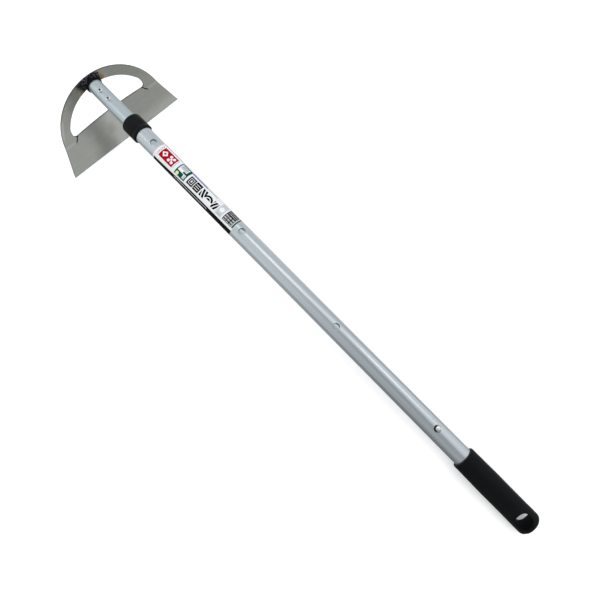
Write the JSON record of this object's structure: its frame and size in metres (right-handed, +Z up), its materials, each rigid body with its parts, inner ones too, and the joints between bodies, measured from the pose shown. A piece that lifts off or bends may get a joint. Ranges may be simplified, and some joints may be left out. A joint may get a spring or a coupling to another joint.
{
  "type": "telescopic stirrup hoe",
  "caption": "Telescoping weeding hoe: a stirrup-shaped stainless plate with a straight blade on an aluminium shaft with snap-button stops and a black grip.",
  "frame": {"origin": "middle of the hoe's footprint, on the ground that the cutting edge and the end of the grip stand on", "axes": "+X runs along the ground from the head to the end of the grip, +Y runs across the blade, +Z is up"},
  "size_m": [0.815, 0.2048, 0.1115],
  "materials": {
    "blade_steel": "stamped stainless plate with a fine grain across the blade, warm grey, satin",
    "weld_scale": "black weld and heat scale, uneven, half matt",
    "stub_steel": "black finish on a turned steel stub, satin",
    "screw_steel": "bright plated pan heads",
    "inner_tube_aluminium": "satin anodised, pale blue-grey",
    "outer_tube_aluminium": "satin anodised with fine lines along the tube",
    "nylon": "natural white nylon, matt",
    "spring_steel": "bare spring strip",
    "button_chrome": "polished dome",
    "collar_plastic": "black moulding, half gloss",
    "label_film": "white printed film with plain colour blocks, half gloss",
    "plug_plastic": "dark moulded plug, matt",
    "grip_rubber": "black soft moulding, satin, with fine ribs across the palm"
  },
  "bodies": {
    "handle": {"outer_tube": "outer_tube_aluminium", "tube_collar": "collar_plastic", "collar_bush": "nylon", "tube_label": "label_film", "tube_plug": "plug_plastic", "grip": "grip_rubber"},
    "head": {"head_plate": "blade_steel", "weld_bead": "weld_scale", "head_stub": "stub_steel", "tube_screw_front": "screw_steel", "tube_screw_rear": "screw_steel", "inner_tube": "inner_tube_aluminium", "guide_bush": "nylon", "button_spring": "spring_steel"},
    "snap_button": {"snap_button": "button_chrome"}
  },
  "joints": [
    {"name": "extend", "type": "slide", "parent": "handle", "child": "head", "axis": [-0.9946, 0, 0.104], "range_m": [0, 0.5199], "deforming": ["snap_button", "button_spring"]},
    {"name": "press_button", "type": "slide", "parent": "head", "child": "snap_button", "axis": [-0.104, 0, -0.9946], "range_m": [0, 0.0046], "stiffness_N_per_m": 800, "springref_m": -0.002, "deforming": ["button_spring"]}
  ]
}
